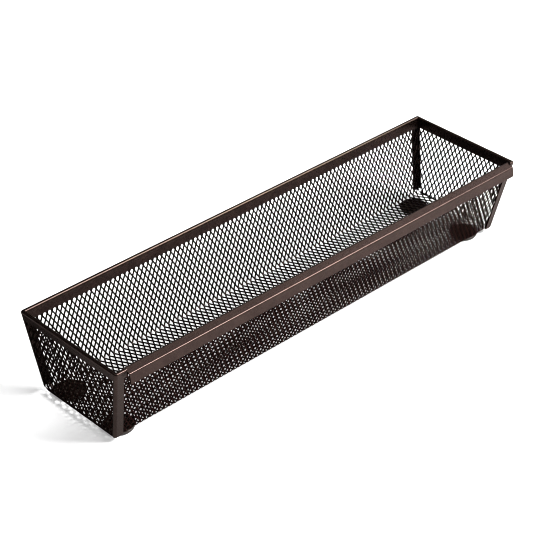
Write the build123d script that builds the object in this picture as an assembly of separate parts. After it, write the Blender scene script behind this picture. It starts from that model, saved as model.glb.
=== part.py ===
from build123d import *
import math
import os

# Drawer organizer insert: a tapered mesh tray with a folded steel rim and a hook lip.
# Millimetres, +Z up, +X along the tray, -Y towards the side that carries the hook lip.
# The origin is under the middle of the whole tray's box, on the surface that the feet stand on.

# Driving dimensions
tray_length = 304.8        # over the rims, along X
tray_width = 77.1          # over the rims, along Y, without the hook lip
floor_length = 293.6       # at the underside of the mesh floor
floor_width = 56.9
basket_height = 48.4       # mesh underside to rim top
foot_height = 2.4
foot_diameter = 16.8
foot_edge_radius = 1.5
foot_x_left = -137.3       # the two pairs of feet are not quite equally far from the ends
foot_x_right = 132.3
foot_y = 20.0

sheet = 0.8                # thickness of the mesh and of the rim steel
rim_outer_height = 5.0     # outer flange, from the rim top
rim_inner_height = 6.0     # inner flange, from the rim top
rim_top_radius = 1.0
corner_radius = 1.6        # outside corners of the rim and of the corner strips
fold_radius = 1.8          # outside of the fold between the floor and a long wall
mesh_top_gap = 0.2         # between the mesh edge and the rim's web

strip_long_leg = 5.6       # corner strip, leg on the long wall
strip_end_leg = 1.8        # corner strip, leg on the end panel
front_strip_lift = 0.8     # from the underside of the floor to a strip's low end
back_strip_lift = 2.4

lip_left_gap = 7.5         # from the tray's end to the lip's end
lip_right_gap = 3.6
lip_tilt = 20.0            # degrees that the lip's top falls outwards
lip_bend_out = 1.9         # from the rim's outer face to the bend, level
lip_bend_drop = 1.9        # from the rim top down to the bend
lip_bend_radius = 1.0
lip_flap_drop = 5.8
lip_flap_lean = 1.0        # the flap's low edge stands this much further out than its bend

half_length = tray_length / 2
half_width = tray_width / 2
floor_z = foot_height
rim_z = foot_height + basket_height
lip_left_x = -half_length + lip_left_gap
lip_right_x = half_length - lip_right_gap
lip_bend_y = half_width + lip_bend_out
lip_bend_z = rim_z - lip_bend_drop

# The four walls lean outwards. Their planes are named by the offset from the mesh's outer
# face: 0 is that face, sheet is the outer face of the rim, -sheet the inner face of the mesh.
# The rim is widest just below its rounded top.
widest_height = basket_height - rim_top_radius
end_angle = math.atan((half_length - sheet - floor_length / 2) / widest_height)
side_angle = math.atan((half_width - sheet - floor_width / 2) / widest_height)


def end_x(offset, z):
    """Distance from the middle to an end wall's plane at height z."""
    return floor_length / 2 + offset / math.cos(end_angle) + (z - floor_z) * math.tan(end_angle)


def side_y(offset, z):
    """Distance from the middle to a long wall's plane at height z."""
    return floor_width / 2 + offset / math.cos(side_angle) + (z - floor_z) * math.tan(side_angle)


def tapered_block(end_offset, side_offset, low, high, radius=0.0):
    """Solid inside the four wall planes between two heights."""
    rings = []
    for z in (low, high):
        outline = Rectangle(2 * end_x(end_offset, z), 2 * side_y(side_offset, z))
        if radius:
            outline = fillet(outline.vertices(), radius)
        rings.append(Plane.XY.offset(z) * outline)
    return loft(rings)


def tapered_ring(outer, inner, low, high, radius=0.0):
    """Band that follows all four walls, between two offsets and two heights."""
    return tapered_block(outer, outer, low, high, radius) - tapered_block(
        inner, inner, low, high, max(radius - (outer - inner), 0.0))


def along_tray(outline, x_low, x_high):
    """Extrude a face drawn in Y and Z from one X to another."""
    return Pos(x_low, 0, 0) * extrude(outline, x_high - x_low, dir=(1, 0, 0))


def cross_section(points):
    """Face from (y, z) points."""
    return make_face(Polyline([(0, y, z) for y, z in points], close=True))


def folded_section(points, radius, thickness, side):
    """Face of a sheet bent along (y, z) points, with the same radius at each bend."""
    face_path = FilletPolyline([(y, z) for y, z in points], radius=radius)
    ribbon = make_face(offset(face_path, amount=thickness, side=side))
    return Plane.YZ * ribbon


def mitre_plane(x_sign, y_sign):
    """Plane that halves the angle between two neighbouring walls; it faces the long wall."""
    long_normal = Vector(0, y_sign * math.cos(side_angle), -math.sin(side_angle))
    end_normal = Vector(x_sign * math.cos(end_angle), 0, -math.sin(end_angle))
    corner = Vector(x_sign * floor_length / 2, y_sign * floor_width / 2, floor_z)
    return Plane(origin=corner, z_dir=long_normal - end_normal)


def make_full_rim():
    """All four folded channels in one ring, before the mitre cuts."""
    outer_low = rim_z - rim_outer_height
    inner_low = rim_z - rim_inner_height
    body = tapered_ring(sheet, -2 * sheet, inner_low, rim_z, corner_radius)
    top_edges = body.faces().sort_by(Axis.Z)[-1].edges()
    body = fillet(top_edges, rim_top_radius)
    slot = tapered_ring(0, -sheet, inner_low, rim_z - sheet)
    below_outer_flange = tapered_ring(2 * sheet, -sheet, inner_low, outer_low)
    return body - slot - below_outer_flange


def cut_rims(full_rim, strips):
    """The back channel, and the two end channels with their short returns on the front.

    The corner strips lie over the rim's corners, so its outer flange stops at them.
    """
    for strip in strips.values():
        full_rim -= strip
    back = split(full_rim, bisect_by=Plane.XZ, keep=Keep.BOTTOM)
    for x_sign in (-1, 1):
        back = split(back, bisect_by=mitre_plane(x_sign, 1), keep=Keep.TOP)
    rims = {"rim_back": back}
    for name, x_sign, cut_x in (("rim_left", -1, lip_left_x), ("rim_right", 1, lip_right_x)):
        end = split(full_rim, bisect_by=Plane((cut_x, 0, 0), z_dir=(x_sign, 0, 0)), keep=Keep.TOP)
        rims[name] = split(end, bisect_by=mitre_plane(x_sign, 1), keep=Keep.BOTTOM)
    return rims


def lip_meets_wall(offset, below):
    """The (y, z) point where the front wall's plane reaches a line below the lip's top."""
    slope = math.tan(math.radians(lip_tilt))
    level_y = side_y(offset, 0)
    drop = below / math.cos(math.radians(lip_tilt))
    z = (lip_bend_z - drop + (lip_bend_y - level_y) * slope) / (1 + slope * math.tan(side_angle))
    return -side_y(offset, z), z


def make_hook_lip():
    """Folded strip on the front wall: a hemmed inner leg, a tilted top and a hanging flap."""
    leg_low = rim_z - rim_inner_height
    inside = -3 * sheet
    points = [
        (-side_y(inside, leg_low), leg_low), lip_meets_wall(inside, 0),
        (-lip_bend_y, lip_bend_z), (-lip_bend_y - lip_flap_lean, lip_bend_z - lip_flap_drop)]
    strip = folded_section(points, lip_bend_radius, sheet, Side.LEFT)
    hem = cross_section([
        (-side_y(-2 * sheet, leg_low), leg_low), lip_meets_wall(-2 * sheet, sheet),
        lip_meets_wall(-sheet, sheet), (-side_y(-sheet, leg_low), leg_low)])
    return along_tray(strip + hem, lip_left_x, lip_right_x)


def make_trough():
    """Mesh floor and both long walls, folded from one sheet, as a plain sheet."""
    back_top = rim_z - sheet - mesh_top_gap
    points = [
        lip_meets_wall(0, sheet + mesh_top_gap), (-floor_width / 2, floor_z),
        (floor_width / 2, floor_z), (side_y(0, back_top), back_top)]
    section = folded_section(points, fold_radius, sheet, Side.LEFT)
    sheet_body = along_tray(section, -half_length, half_length)
    return sheet_body & tapered_block(-sheet, 2 * sheet, floor_z, rim_z)


def make_end_panels():
    """The two mesh end panels, which close the trough's ends, as plain sheets."""
    top = rim_z - sheet - mesh_top_gap
    corners = [
        (-side_y(0, top), top), (-floor_width / 2, floor_z),
        (floor_width / 2, floor_z), (side_y(0, top), top)]
    face = make_face(Polyline(corners, close=True))
    bottom_corners = face.vertices().sort_by(Axis.Y)[:2]
    face = Plane.YZ * fillet(bottom_corners, fold_radius)
    block = along_tray(face, -half_length, half_length)
    panels = block & (tapered_block(0, 2 * sheet, floor_z, rim_z)
                      - tapered_block(-sheet, 2 * sheet, floor_z, rim_z))
    return panels.solids().sort_by(Axis.X)


def above_lip():
    """Everything over the underside of the lip's top, along the lip."""
    outside = lip_bend_y + sheet
    inside = floor_width / 2
    points = []
    for y in (outside, inside):
        rise = (lip_bend_y - y) * math.tan(math.radians(lip_tilt))
        drop = sheet / math.cos(math.radians(lip_tilt)) + mesh_top_gap
        points.append((-y, lip_bend_z + rise - drop))
    points += [(-inside, 2 * rim_z), (-outside, 2 * rim_z)]
    return along_tray(
        cross_section(points), lip_left_x - mesh_top_gap, lip_right_x + mesh_top_gap)


def make_corner_strips():
    """Four bent angles that cover the corner seams, from the floor up over the rim's corners."""
    low = floor_z + front_strip_lift
    high = rim_z - rim_top_radius
    wide = 10 * sheet
    shell = tapered_block(sheet, sheet, low, high, corner_radius)
    shell -= tapered_block(0, 0, low, high)
    shell -= tapered_block(sheet - strip_long_leg, wide, low, high)
    shell -= tapered_block(wide, sheet - strip_end_leg, low, high)
    shell -= above_lip()
    strips = {}
    for strip in shell.solids():
        middle = strip.center()
        depth = "front" if middle.Y < 0 else "back"
        side = "left" if middle.X < 0 else "right"
        if depth == "back":
            low_end = Plane.XY.offset(floor_z + back_strip_lift)
            strip = split(strip, bisect_by=low_end, keep=Keep.TOP)
        strips[f"corner_strip_{depth}_{side}"] = strip
    return strips


def make_foot(x, y):
    """Round pad with a rounded lower edge."""
    pad = Cylinder(foot_diameter / 2, foot_height, align=(Align.CENTER, Align.CENTER, Align.MIN))
    pad = fillet(pad.edges().sort_by(Axis.Z)[0], foot_edge_radius)
    return Pos(x, y, 0) * pad


left_panel, right_panel = make_end_panels()
corner_strips = make_corner_strips()

nodes = {
    "mesh_trough": make_trough(),
    "end_panel_left": left_panel,
    "end_panel_right": right_panel,
    "hook_lip": make_hook_lip(),
    **cut_rims(make_full_rim(), corner_strips),
    **corner_strips,
}
for depth, y_sign in (("front", -1), ("back", 1)):
    for side, x in (("left", foot_x_left), ("right", foot_x_right)):
        nodes[f"foot_{depth}_{side}"] = make_foot(x, y_sign * foot_y)

# The lip makes the tray deeper on one side, so the walls move back to centre the whole box.
lip_reach = -nodes["hook_lip"].bounding_box().min.Y
centring = (lip_reach - half_width) / 2

os.makedirs("parts", exist_ok=True)
for name, solid in nodes.items():
    export_step(Pos(0, centring, 0) * solid, f"parts/{name}.step")
print("depth over the lip", round(lip_reach + half_width, 3), "centring shift", round(centring, 3))
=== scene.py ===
import math
import bpy
from mathutils import Matrix, Vector


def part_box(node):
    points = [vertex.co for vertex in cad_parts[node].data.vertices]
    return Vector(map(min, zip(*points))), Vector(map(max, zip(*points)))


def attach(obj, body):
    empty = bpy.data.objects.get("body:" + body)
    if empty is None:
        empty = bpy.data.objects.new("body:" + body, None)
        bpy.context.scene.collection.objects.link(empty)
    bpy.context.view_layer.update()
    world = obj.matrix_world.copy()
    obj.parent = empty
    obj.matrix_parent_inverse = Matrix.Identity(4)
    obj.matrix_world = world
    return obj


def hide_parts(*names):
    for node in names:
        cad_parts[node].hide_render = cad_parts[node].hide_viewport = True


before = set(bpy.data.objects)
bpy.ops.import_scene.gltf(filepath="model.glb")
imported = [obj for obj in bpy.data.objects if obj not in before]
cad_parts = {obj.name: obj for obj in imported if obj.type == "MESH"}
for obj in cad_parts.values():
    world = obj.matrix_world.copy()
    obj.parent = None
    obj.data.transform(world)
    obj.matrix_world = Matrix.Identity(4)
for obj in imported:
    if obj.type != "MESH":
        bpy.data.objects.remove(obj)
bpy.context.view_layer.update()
print("frame loaded, nodes:", len(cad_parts))


def clearSelection():
    bpy.ops.object.select_all(action="DESELECT")


def pickOnly(piece):
    clearSelection()
    piece.select_set(True)
    bpy.context.view_layer.objects.active = piece


def selectVerts(piece, wanted):
    # leaves the piece in edit mode with only the wanted vertices selected
    bpy.ops.object.mode_set(mode="EDIT")
    bpy.ops.mesh.select_mode(type="VERT")
    bpy.ops.mesh.select_all(action="DESELECT")
    bpy.ops.object.mode_set(mode="OBJECT")
    for vert in piece.data.vertices:
        vert.select = wanted(vert.co)
    bpy.ops.object.mode_set(mode="EDIT")


def cutAway(point, normal):
    # bisects the whole piece in edit mode and drops what lies beyond the plane
    bpy.ops.mesh.select_all(action="SELECT")
    bpy.ops.mesh.bisect(plane_co=point, plane_no=normal, use_fill=True, clear_outer=True)


def applyModifier(piece, kind, **settings):
    modifier = piece.modifiers.new(kind.lower(), kind)
    for name, value in settings.items():
        setattr(modifier, name, value)
    bpy.ops.object.modifier_apply(modifier=modifier.name)


def turnTo(piece, matrix):
    # moves the mesh itself, so the finished piece's origin stays at the world origin
    piece.matrix_world = matrix
    bpy.context.view_layer.update()
    pickOnly(piece)
    bpy.ops.object.transform_apply(location=True, rotation=True, scale=True)


def settle(piece, name, slot, *nodes):
    piece.name = name
    piece.data.name = name
    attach(piece, "root")
    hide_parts(*nodes)


def newGroup(name, inputs, outputs):
    group = bpy.data.node_groups.new(name, "ShaderNodeTree")
    for label, kind, value in inputs:
        socket = group.interface.new_socket(name=label, in_out="INPUT", socket_type=kind)
        socket.default_value = value
    for label, kind in outputs:
        group.interface.new_socket(name=label, in_out="OUTPUT", socket_type=kind)
    return group, group.nodes.new("NodeGroupInput"), group.nodes.new("NodeGroupOutput")


def addMath(tree, operation, first, second):
    node = tree.nodes.new("ShaderNodeMath")
    node.operation = operation
    for socket, value in zip(node.inputs, (first, second)):
        if isinstance(value, bpy.types.NodeSocket):
            tree.links.new(value, socket)
        else:
            socket.default_value = value
    return node.outputs[0]


def addRange(tree, value, low, high, toLow, toHigh):
    node = tree.nodes.new("ShaderNodeMapRange")
    tree.links.new(value, node.inputs["Value"])
    for label, number in (("From Min", low), ("From Max", high), ("To Min", toLow), ("To Max", toHigh)):
        if isinstance(number, bpy.types.NodeSocket):
            tree.links.new(number, node.inputs[label])
        else:
            node.inputs[label].default_value = number
    return node.outputs["Result"]


def addBlend(tree, factor, first, second):
    node = tree.nodes.new("ShaderNodeMix")
    node.data_type = "RGBA"
    tree.links.new(factor, node.inputs["Factor"])
    tree.links.new(first, node.inputs[6])
    tree.links.new(second, node.inputs[7])
    return node.outputs[2]


def addNoise(tree, place, scale, detail, roughness=0.5):
    node = tree.nodes.new("ShaderNodeTexNoise")
    tree.links.new(place, node.inputs["Vector"])
    if isinstance(scale, bpy.types.NodeSocket):
        tree.links.new(scale, node.inputs["Scale"])
    else:
        node.inputs["Scale"].default_value = scale
    node.inputs["Detail"].default_value = detail
    node.inputs["Roughness"].default_value = roughness
    return node.outputs["Fac"]


# scales of the patterns, and how sharp an edge is before it wears
grain = {
    "cloudScale": 60.0, "flakeScale": 3200.0, "gritScale": 5200.0, "gritShare": 0.35,
    "patchScale": 220.0, "edgeLow": 0.51, "edgeHigh": 0.6,
}


def makeCoatGroup():
    # powder coat: soft cloudy tone, fine metal flecks and orange peel
    group, given, result = newGroup("powderCoat", [
        ("Color", "NodeSocketColor", (0.05, 0.04, 0.035, 1)),
        ("Pale", "NodeSocketColor", (0.1, 0.08, 0.07, 1)),
        ("Fleck", "NodeSocketColor", (0.3, 0.24, 0.2, 1)),
        ("Fleck Share", "NodeSocketFloat", 0.2),
        ("Peel Scale", "NodeSocketFloat", 1500.0),
        ("Shine Low", "NodeSocketFloat", 0.3),
        ("Shine High", "NodeSocketFloat", 0.45),
    ], [("Color", "NodeSocketColor"), ("Roughness", "NodeSocketFloat"), ("Height", "NodeSocketFloat")])
    place = group.nodes.new("ShaderNodeTexCoord").outputs["Object"]
    cloud = addNoise(group, place, grain["cloudScale"], 3.0)
    tone = addRange(group, cloud, 0.35, 0.65, 0.0, 1.0)
    base = addBlend(group, tone, given.outputs["Color"], given.outputs["Pale"])
    flake = group.nodes.new("ShaderNodeTexVoronoi")
    flake.inputs["Scale"].default_value = grain["flakeScale"]
    group.links.new(place, flake.inputs["Vector"])
    split = group.nodes.new("ShaderNodeSeparateColor")
    group.links.new(flake.outputs["Color"], split.inputs["Color"])
    lucky = addMath(group, "LESS_THAN", split.outputs["Red"], given.outputs["Fleck Share"])
    near = addRange(group, flake.outputs["Distance"], 0.1, 0.42, 1.0, 0.0)
    spark = addMath(group, "MULTIPLY", lucky, near)
    group.links.new(addBlend(group, spark, base, given.outputs["Fleck"]), result.inputs["Color"])
    peel = addNoise(group, place, given.outputs["Peel Scale"], 2.0)
    grit = addNoise(group, place, grain["gritScale"], 2.0)
    shine = addRange(group, peel, 0.3, 0.7, given.outputs["Shine Low"], given.outputs["Shine High"])
    group.links.new(shine, result.inputs["Roughness"])
    height = addMath(group, "ADD", peel, addMath(group, "MULTIPLY", grit, grain["gritShare"]))
    group.links.new(height, result.inputs["Height"])
    return group


def makeWearGroup():
    # paint thins and polishes on outer edges, broken up by noise
    group, given, result = newGroup("edgeWear", [
        ("Color", "NodeSocketColor", (0.05, 0.04, 0.035, 1)),
        ("Worn Color", "NodeSocketColor", (0.3, 0.25, 0.2, 1)),
        ("Roughness", "NodeSocketFloat", 0.4),
        ("Worn Roughness", "NodeSocketFloat", 0.25),
        ("Amount", "NodeSocketFloat", 0.4),
    ], [("Color", "NodeSocketColor"), ("Roughness", "NodeSocketFloat")])
    place = group.nodes.new("ShaderNodeTexCoord").outputs["Object"]
    sharpness = group.nodes.new("ShaderNodeNewGeometry").outputs["Pointiness"]
    edge = addRange(group, sharpness, grain["edgeLow"], grain["edgeHigh"], 0.0, 1.0)
    patch = addRange(group, addNoise(group, place, grain["patchScale"], 4.0, 0.65), 0.42, 0.62, 0.0, 1.0)
    mask = addMath(group, "MULTIPLY", addMath(group, "MULTIPLY", edge, patch), given.outputs["Amount"])
    color = addBlend(group, mask, given.outputs["Color"], given.outputs["Worn Color"])
    shine = addRange(group, mask, 0.0, 1.0, given.outputs["Roughness"], given.outputs["Worn Roughness"])
    group.links.new(color, result.inputs["Color"])
    group.links.new(shine, result.inputs["Roughness"])
    return group


coatGroup = makeCoatGroup()
wearGroup = makeWearGroup()


def makeFinish(name, look):
    material = bpy.data.materials.new(name)
    material.use_nodes = True
    tree = material.node_tree
    shader = tree.nodes["Principled BSDF"]
    shader.inputs["Metallic"].default_value = look["metal"]
    shader.inputs["Specular IOR Level"].default_value = look["specular"]
    shader.inputs["Specular Tint"].default_value = look["edgeTint"]
    shader.inputs["Coat Weight"].default_value = look["coat"]
    shader.inputs["Coat Roughness"].default_value = look["coatRoughness"]
    coat = tree.nodes.new("ShaderNodeGroup")
    coat.node_tree = coatGroup
    coat.inputs["Color"].default_value = look["color"]
    coat.inputs["Pale"].default_value = look["pale"]
    coat.inputs["Fleck"].default_value = look["fleck"]
    coat.inputs["Fleck Share"].default_value = look["fleckShare"]
    coat.inputs["Peel Scale"].default_value = look["peelScale"]
    coat.inputs["Shine Low"].default_value = look["shineLow"]
    coat.inputs["Shine High"].default_value = look["shineHigh"]
    wear = tree.nodes.new("ShaderNodeGroup")
    wear.node_tree = wearGroup
    wear.inputs["Worn Color"].default_value = look["wornColor"]
    wear.inputs["Worn Roughness"].default_value = look["wornRoughness"]
    wear.inputs["Amount"].default_value = look["wear"]
    tree.links.new(coat.outputs["Color"], wear.inputs["Color"])
    tree.links.new(coat.outputs["Roughness"], wear.inputs["Roughness"])
    tree.links.new(wear.outputs["Color"], shader.inputs["Base Color"])
    tree.links.new(wear.outputs["Roughness"], shader.inputs["Roughness"])
    bump = tree.nodes.new("ShaderNodeBump")
    bump.inputs["Strength"].default_value = look["bump"]
    bump.inputs["Distance"].default_value = look["bumpDepth"]
    tree.links.new(coat.outputs["Height"], bump.inputs["Height"])
    tree.links.new(bump.outputs["Normal"], shader.inputs["Normal"])
    return material


trimLook = {
    "color": (0.0285, 0.0172, 0.0146, 1), "pale": (0.0315, 0.0192, 0.0163, 1),
    "fleck": (0.085, 0.056, 0.048, 1), "fleckShare": 0.15,
    "peelScale": 1400.0, "shineLow": 0.24, "shineHigh": 0.34,
    "metal": 0.96, "specular": 0.5, "edgeTint": (1, 0.93, 0.9, 1),
    "coat": 0.06, "coatRoughness": 0.25,
    "wornColor": (0.12, 0.075, 0.064, 1), "wornRoughness": 0.25, "wear": 0.15,
    "bump": 0.15, "bumpDepth": 0.00003,
}
meshLook = {
    "color": (0.0052, 0.0034, 0.0030, 1), "pale": (0.0095, 0.0062, 0.0055, 1),
    "fleck": (0.052, 0.036, 0.032, 1), "fleckShare": 0.15,
    "peelScale": 2200.0, "shineLow": 0.24, "shineHigh": 0.36,
    "metal": 0.95, "specular": 0.4, "edgeTint": (0.5, 0.36, 0.31, 1),
    "coat": 0.02, "coatRoughness": 0.25,
    "wornColor": (0.10, 0.08, 0.065, 1), "wornRoughness": 0.3, "wear": 0.15,
    "bump": 0.3, "bumpDepth": 0.00002,
}
footLook = {
    "color": (0.019, 0.0135, 0.011, 1), "pale": (0.025, 0.018, 0.015, 1), "fleck": (0.03, 0.023, 0.019, 1),
    "fleckShare": 0.05, "peelScale": 900.0, "shineLow": 0.18, "shineHigh": 0.28,
    "metal": 0.0, "specular": 0.5, "edgeTint": (1, 1, 1, 1),
    "coat": 0.2, "coatRoughness": 0.12,
    "wornColor": (0.07, 0.055, 0.045, 1), "wornRoughness": 0.35, "wear": 0.2,
    "bump": 0.15, "bumpDepth": 0.00003,
}
trimFinish = makeFinish("bronzePowderCoat", trimLook)
meshFinish = makeFinish("darkBronzeMesh", meshLook)
footFinish = makeFinish("bronzeFootPlastic", footLook)
print("finishes made")


troughLow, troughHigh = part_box("mesh_trough")
panelLow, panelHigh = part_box("end_panel_right")
# where the walls stand; all of them lean outwards
walls = {
    "sheet": 0.0008,
    "foldRadius": 0.0018,
    "floorHalfWidth": 0.02845,
    "frontRise": 0.046,      # the front wall stops under the lip
    "frontCut": 0.2,         # radians that its cut edge is turned from level
    "endLeanGuess": 0.1009,  # only for the sheet's level thickness
}
floorZ = troughLow.z
wallRise = panelHigh.z - panelLow.z
levelSheet = walls["sheet"] / math.cos(walls["endLeanGuess"])
endLean = math.atan((panelHigh.x - levelSheet - panelLow.x) / wallRise)
middleY = (panelLow.y + panelHigh.y) / 2
sideLean = math.atan(((panelHigh.y - panelLow.y) / 2 - walls["floorHalfWidth"]) / wallRise)


def sideY(offset, z):
    # how far a long wall's plane stands from the middle at height z; 0 is the mesh's outer face
    return walls["floorHalfWidth"] + offset / math.cos(sideLean) + (z - floorZ) * math.tan(sideLean)


mesh = {
    "shortPitch": 0.00330,   # along the tray
    "longPitch": 0.00583,    # up the walls and across the floor
    "strand": 0.00080,       # strand width
    "gauge": 0.00042,
}
tiny = 0.00001               # points nearer than this are the same point


def makeFlatMesh(name, longCount, shortCount, shortPitch, longPitch):
    # x runs along the long pitch, y along the short pitch
    share = mesh["strand"] * math.hypot(longPitch, shortPitch) / (longPitch * shortPitch)
    tipX, sideY = share * longPitch / 2, share * shortPitch / 2
    armX, armLow = longPitch / 4, shortPitch * (0.5 - share) / 2
    armHigh = shortPitch / 2 - armLow
    clearSelection()
    bpy.ops.mesh.primitive_plane_add(size=1, location=(armX / 2, sideY / 2, 0))
    sheet = bpy.context.object
    sheet.name = name
    sheet.scale = (armX, sideY, 1)
    bpy.ops.object.transform_apply(location=True, rotation=True, scale=True)
    # a quarter of a knuckle: the near corner slides out to the opening's tip,
    # and the far end moves up to the middle of the strand
    selectVerts(sheet, lambda co: co.x < armX / 2 and co.y < sideY / 2)
    bpy.ops.transform.translate(value=(tipX, 0, 0))
    selectVerts(sheet, lambda co: co.x > 0.9 * armX and co.y < sideY / 2)
    bpy.ops.transform.translate(value=(0, armLow, 0))
    selectVerts(sheet, lambda co: co.x > 0.9 * armX and abs(co.y - sideY) < 0.000001)
    bpy.ops.transform.translate(value=(0, armHigh - sideY, 0))
    bpy.ops.object.mode_set(mode="OBJECT")
    applyModifier(sheet, "MIRROR", use_axis=(True, True, False), merge_threshold=tiny)
    selectVerts(sheet, lambda co: abs(co.x) < 1.01 * tipX and abs(co.y) < 1.01 * sideY)
    bpy.ops.mesh.edge_face_add()
    # the next knuckle sits half a pitch on, both ways
    bpy.ops.mesh.select_all(action="SELECT")
    bpy.ops.mesh.duplicate()
    bpy.ops.transform.translate(value=(longPitch / 2, shortPitch / 2, 0))
    bpy.ops.object.mode_set(mode="OBJECT")
    applyModifier(sheet, "ARRAY", count=longCount, use_relative_offset=False, use_constant_offset=True,
                  constant_offset_displace=(longPitch, 0, 0))
    applyModifier(sheet, "ARRAY", count=shortCount, use_relative_offset=False, use_constant_offset=True,
                  constant_offset_displace=(0, shortPitch, 0))
    bpy.ops.object.mode_set(mode="EDIT")
    bpy.ops.mesh.select_all(action="SELECT")
    bpy.ops.mesh.remove_doubles(threshold=tiny)
    bpy.ops.mesh.normals_make_consistent(inside=False)
    bpy.ops.transform.translate(value=(0, -shortPitch * shortCount / 2, 0))
    bpy.ops.object.mode_set(mode="OBJECT")
    print(name, "openings:", longCount * shortCount * 2)
    return sheet


def makeFoldPath(low, frontTop, backTop):
    # the U that the trough's sheet follows, drawn flat, with round folds
    middle, radius = -walls["sheet"] / 2, walls["foldRadius"] - walls["sheet"] / 2
    cornerY, cornerZ = sideY(middle, low), low
    back = radius * math.tan((math.pi / 2 - sideLean) / 2)   # from the corner to where the fold starts
    reach = 4 / 3 * math.tan((math.pi / 2 - sideLean) / 4) * radius
    upY, upZ = math.sin(sideLean), math.cos(sideLean)
    stops = [
        ((middleY - sideY(middle, frontTop), frontTop), None),
        ((middleY - cornerY - back * upY, cornerZ + back * upZ), (upY, -upZ)),
        ((middleY - cornerY + back, cornerZ), (1, 0)),
        ((middleY + cornerY - back, cornerZ), (1, 0)),
        ((middleY + cornerY + back * upY, cornerZ + back * upZ), (upY, upZ)),
        ((middleY + sideY(middle, backTop), backTop), None),
    ]
    curve = bpy.data.curves.new("foldPath", "CURVE")
    curve.dimensions = "2D"
    curve.use_deform_bounds = False
    curve.resolution_u = 16
    spline = curve.splines.new("BEZIER")
    spline.bezier_points.add(len(stops) - 1)
    for point, ((y, z), along) in zip(spline.bezier_points, stops):
        point.co = (y, z, 0)
        point.handle_left_type = point.handle_right_type = "VECTOR"
    for index, curvedSide in ((1, 1), (2, -1), (3, 1), (4, -1)):
        point, along = spline.bezier_points[index], stops[index][1]
        pull = curvedSide * reach
        handle = Vector((point.co.x + pull * along[0], point.co.y + pull * along[1], 0))
        if curvedSide > 0:
            point.handle_right_type = "FREE"
            point.handle_right = handle
        else:
            point.handle_left_type = "FREE"
            point.handle_left = handle
    path = bpy.data.objects.new("foldPath", curve)
    bpy.context.scene.collection.objects.link(path)
    return path, spline.calc_length()


def thicken(sheet):
    applyModifier(sheet, "SOLIDIFY", thickness=mesh["gauge"], offset=0.0)


def makeTrough():
    frontTop = floorZ + walls["frontRise"]
    backTop = troughHigh.z - 0.0001
    path, pathLength = makeFoldPath(floorZ + walls["sheet"] / 2, frontTop, backTop)
    longCount = int(pathLength / mesh["longPitch"]) + 1
    shortCount = int(2 * troughHigh.x / mesh["shortPitch"]) + 3
    sheet = makeFlatMesh("meshTrough", longCount, shortCount, mesh["shortPitch"], mesh["longPitch"])
    turnTo(sheet, Matrix.Rotation(-math.pi / 2, 4, "X"))
    applyModifier(sheet, "CURVE", object=path, deform_axis="POS_X")
    bpy.data.objects.remove(path)
    turnTo(sheet, Matrix(((0, 0, 1, 0), (1, 0, 0, 0), (0, 1, 0, 0), (0, 0, 0, 1))))
    thicken(sheet)
    bpy.ops.object.mode_set(mode="EDIT")
    for sign in (-1, 1):
        cutAway((sign * panelLow.x, 0, floorZ), (sign * math.cos(endLean), 0, -math.sin(endLean)))
    cutAway((0, 0, troughHigh.z), (0, 0, 1))
    turn = walls["frontCut"]
    cutAway((0, middleY - sideY(0, frontTop), frontTop), (0, -math.sin(turn), math.cos(turn)))
    bpy.ops.object.mode_set(mode="OBJECT")
    bpy.ops.object.shade_smooth()
    sheet.data.materials.clear()
    sheet.data.materials.append(meshFinish)
    settle(sheet, "meshTrough", "mesh", "mesh_trough")
    return sheet


panelMesh = {"shortPitch": 0.00348, "longPitch": 0.00600, "drop": 0.0005}
panelHem = {"depth": 0.0009, "height": 0.0011, "easing": 0.0003}


def makeHem(halfLength):
    # the panel's bottom edge is folded flat, which closes the cut strands
    clearSelection()
    bpy.ops.mesh.primitive_cube_add(
        size=1, location=(panelLow.x + panelHem["depth"] / 2, middleY, floorZ + panelHem["height"] / 2))
    hem = bpy.context.object
    hem.scale = (panelHem["depth"], 2 * halfLength, panelHem["height"])
    bpy.ops.object.transform_apply(location=True, rotation=True, scale=True)
    bpy.ops.object.mode_set(mode="EDIT")
    bpy.ops.mesh.select_all(action="SELECT")
    bpy.ops.mesh.bevel(offset=panelHem["easing"], segments=3, affect="EDGES")
    bpy.ops.object.mode_set(mode="OBJECT")
    return hem


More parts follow.
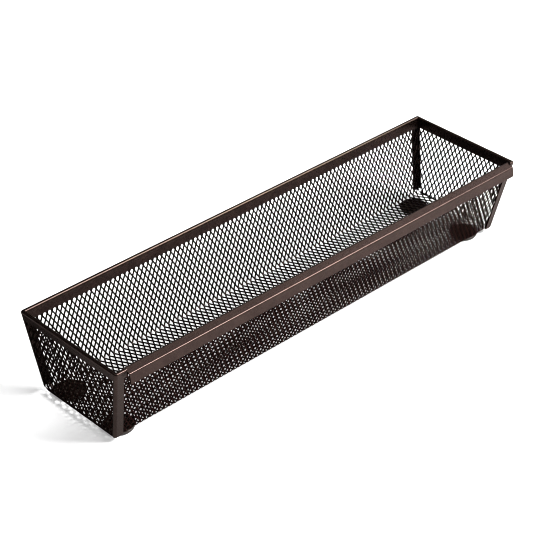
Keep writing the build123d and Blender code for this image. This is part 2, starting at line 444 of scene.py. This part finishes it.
def makeEndPanel(name, node, turned):
    slope = wallRise / math.cos(endLean)
    longCount = int(slope / panelMesh["longPitch"]) + 2
    shortCount = int((panelHigh.y - panelLow.y) / panelMesh["shortPitch"]) + 3
    sheet = makeFlatMesh(name, longCount, shortCount, panelMesh["shortPitch"], panelMesh["longPitch"])
    thicken(sheet)
    upX, upZ = math.sin(endLean), math.cos(endLean)
    footX = panelLow.x + walls["sheet"] / 2 * math.cos(endLean)
    footZ = floorZ - panelMesh["drop"]
    turnTo(sheet, Matrix(((upX, 0, -upZ, footX), (0, 1, 0, middleY), (upZ, 0, upX, footZ), (0, 0, 0, 1))))
    bpy.ops.object.mode_set(mode="EDIT")
    cutAway((0, 0, floorZ), (0, 0, -1))
    cutAway((0, 0, panelHigh.z), (0, 0, 1))
    for sign in (-1, 1):
        cutAway((0, middleY + sign * walls["floorHalfWidth"], floorZ),
                (0, sign * math.cos(sideLean), -math.sin(sideLean)))
        # three small cuts round the lower corner
        radius = walls["foldRadius"]
        startY = walls["floorHalfWidth"] - radius * math.tan((math.pi / 2 - sideLean) / 2)
        for share in (0.25, 0.5, 0.75):
            angle = share * (math.pi / 2 - sideLean)
            cutY = middleY + sign * (startY + radius * math.sin(angle))
            cutZ = floorZ + radius * (1 - math.cos(angle))
            cutAway((0, cutY, cutZ), (0, sign * math.sin(angle), -math.cos(angle)))
    bpy.ops.object.mode_set(mode="OBJECT")
    hem = makeHem(startY)
    clearSelection()
    hem.select_set(True)
    sheet.select_set(True)
    bpy.context.view_layer.objects.active = sheet
    bpy.ops.object.join()
    if turned:
        turnTo(sheet, Matrix.Translation((0, middleY, 0)) @ Matrix.Rotation(math.pi, 4, "Z")
               @ Matrix.Translation((0, -middleY, 0)))
    bpy.ops.object.shade_smooth()
    sheet.data.materials.clear()
    sheet.data.materials.append(meshFinish)
    settle(sheet, name, "mesh", node)
    return sheet


makeTrough()
makeEndPanel("meshEndRight", "end_panel_right", False)
makeEndPanel("meshEndLeft", "end_panel_left", True)
print("expanded mesh made")


trimEdges = {
    "hook_lip": ("hookLip", 0.00014),
    "rim_back": ("rimBack", 0.00012),
    "rim_left": ("rimLeft", 0.00012),
    "rim_right": ("rimRight", 0.00012),
    "corner_strip_front_left": ("cornerStripFrontLeft", 0.00012),
    "corner_strip_front_right": ("cornerStripFrontRight", 0.00012),
    "corner_strip_back_left": ("cornerStripBackLeft", 0.00012),
    "corner_strip_back_right": ("cornerStripBackRight", 0.00012),
}


easing = {"join": 0.00004, "flat": 0.3, "corner": 35, "smooth": 40, "foot": 0.0001}   # metres and degrees


def refine(node, name, edge, slot, finish):
    # the CAD shape with its loose triangles joined and its cut edges eased
    piece = bpy.data.objects.new(name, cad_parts[node].data.copy())
    bpy.context.scene.collection.objects.link(piece)
    pickOnly(piece)
    bpy.ops.object.mode_set(mode="EDIT")
    bpy.ops.mesh.select_all(action="SELECT")
    bpy.ops.mesh.remove_doubles(threshold=easing["join"])
    bpy.ops.mesh.dissolve_limited(angle_limit=math.radians(easing["flat"]))
    bpy.ops.object.mode_set(mode="OBJECT")
    applyModifier(piece, "BEVEL", width=edge, segments=2, limit_method="ANGLE",
                  angle_limit=math.radians(easing["corner"]), use_clamp_overlap=True)
    bpy.ops.object.shade_smooth_by_angle(angle=math.radians(easing["smooth"]))
    # the big faces stay flat in shading, so the eased edges do not bend the long highlights
    applyModifier(piece, "WEIGHTED_NORMAL", mode="FACE_AREA", weight=100, keep_sharp=True)
    piece.data.materials.clear()
    piece.data.materials.append(finish)
    settle(piece, name, slot, node)
    return piece


for node, (name, edge) in trimEdges.items():
    refine(node, name, edge, "trim", trimFinish)
print("rims, lip and corner strips made")

for depth in ("front", "back"):
    for side in ("left", "right"):
        footName = f"foot{depth.title()}{side.title()}"
        refine(f"foot_{depth}_{side}", footName, easing["foot"], "foot", footFinish)
print("feet made")


studio = {
    "floorSize": 6.0, "floorColor": 0.85, "floorGlow": 0.29, "floorRoughness": 0.9, "floorSpecular": 0.1,
    # painted shade: for glossy rays only, the floor's colour and glow are darkened round the tray, so the
    # metal's mirror image of the floor is darker there
    "paintedShadeFrom": -0.19, "paintedShadeTo": 0.07, "paintedShadeEnd": 0.11, "paintedShadeGone": 0.13,
    "paintedShadeLeft": -0.26, "paintedShadeRight": -0.18,
    "keyPlace": (0.8, -0.86, 1.12), "keySize": (0.8, 0.45), "keyPower": 66.0,
    "topPlace": (0.7, -0.25, 1.6), "topSize": (3.8, 2.5), "topPower": 36.0,
    "sidePlace": (1.8, -0.25, 1.58), "sideSize": (1.7, 2.5), "sidePower": 12.0,
    "worldColor": (1, 1, 1, 1), "worldPower": 0.01,
    "target": Vector((0.01938, 0.03461, 0.0024)), "distance": 1.0564,
    "azimuth": -44.02, "elevation": 33.52, "roll": 0.37, "lens": 122.25,
}


def makeFloor():
    clearSelection()
    bpy.ops.mesh.primitive_plane_add(size=studio["floorSize"], location=(0, 0, 0))
    floor = bpy.context.object
    floor.name = "studioFloor"
    material = bpy.data.materials.new("paleFloor")
    material.use_nodes = True
    tree = material.node_tree
    shader = tree.nodes["Principled BSDF"]
    shader.inputs["Roughness"].default_value = studio["floorRoughness"]
    shader.inputs["Specular IOR Level"].default_value = studio["floorSpecular"]
    shader.inputs["Emission Color"].default_value = (1, 1, 1, 1)
    place = tree.nodes.new("ShaderNodeSeparateXYZ")
    tree.links.new(tree.nodes.new("ShaderNodeTexCoord").outputs["Object"], place.inputs["Vector"])
    behind = addRange(tree, place.outputs["Y"], studio["paintedShadeFrom"], studio["paintedShadeTo"], 0.0, 1.0)
    near = addRange(tree, place.outputs["Y"], studio["paintedShadeEnd"], studio["paintedShadeGone"], 1.0, 0.0)
    inLine = addRange(tree, place.outputs["X"], studio["paintedShadeLeft"], studio["paintedShadeRight"], 0.0, 1.0)
    # painted shade seen only in reflections: glossy rays find the floor's colour and glow darkened round
    # the tray
    paintedMirrorShade = tree.nodes.new("ShaderNodeLightPath").outputs["Is Glossy Ray"]
    for share in (behind, near, inLine):
        paintedMirrorShade = addMath(tree, "MULTIPLY", paintedMirrorShade, share)
    left = addMath(tree, "SUBTRACT", 1.0, paintedMirrorShade)
    tree.links.new(addMath(tree, "MULTIPLY", left, studio["floorColor"]), shader.inputs["Base Color"])
    tree.links.new(addMath(tree, "MULTIPLY", left, studio["floorGlow"]), shader.inputs["Emission Strength"])
    floor.data.materials.append(material)


def makeSoftbox(name, place, aim, size, power):
    light = bpy.data.lights.new(name, "AREA")
    light.shape = "RECTANGLE"
    light.size, light.size_y = size
    light.energy = power
    lamp = bpy.data.objects.new(name, light)
    bpy.context.scene.collection.objects.link(lamp)
    lamp.location = place
    lamp.rotation_euler = (Vector(place) - Vector(aim)).to_track_quat("Z", "Y").to_euler()


def makeWorld():
    world = bpy.data.worlds.new("studioWorld")
    bpy.context.scene.world = world
    world.use_nodes = True
    background = world.node_tree.nodes["Background"]
    background.inputs["Color"].default_value = studio["worldColor"]
    background.inputs["Strength"].default_value = studio["worldPower"]


def makeCamera():
    azimuth, elevation, roll = (math.radians(studio[word]) for word in ("azimuth", "elevation", "roll"))
    back = Vector((math.sin(azimuth) * math.cos(elevation), -math.cos(azimuth) * math.cos(elevation),
                   math.sin(elevation)))
    right = Vector((0, 0, 1)).cross(back).normalized()
    up = back.cross(right)
    turnedRight = math.cos(roll) * right + math.sin(roll) * up
    turnedUp = math.cos(roll) * up - math.sin(roll) * right
    camera = bpy.data.objects.new("camera", bpy.data.cameras.new("camera"))
    bpy.context.scene.collection.objects.link(camera)
    camera.data.lens = studio["lens"]
    camera.data.sensor_width = 36.0
    camera.data.clip_end = 20.0
    place = Matrix((turnedRight, turnedUp, back)).transposed().to_4x4()
    place.translation = studio["target"] + back * studio["distance"]
    camera.matrix_world = place
    bpy.context.scene.camera = camera


makeFloor()
makeWorld()
makeSoftbox("keySoftbox", studio["keyPlace"], (0, 0, 0), studio["keySize"], studio["keyPower"])
for word in ("top", "side"):
    spotX, spotY, spotZ = studio[word + "Place"]
    makeSoftbox(word + "Softbox", (spotX, spotY, spotZ), (spotX, spotY, 0),
                studio[word + "Size"], studio[word + "Power"])
makeCamera()
bpy.context.scene.view_settings.view_transform = "Standard"
bpy.context.scene.cycles.filter_width = 0.9   # keeps the fine mesh crisp
print("studio ready")
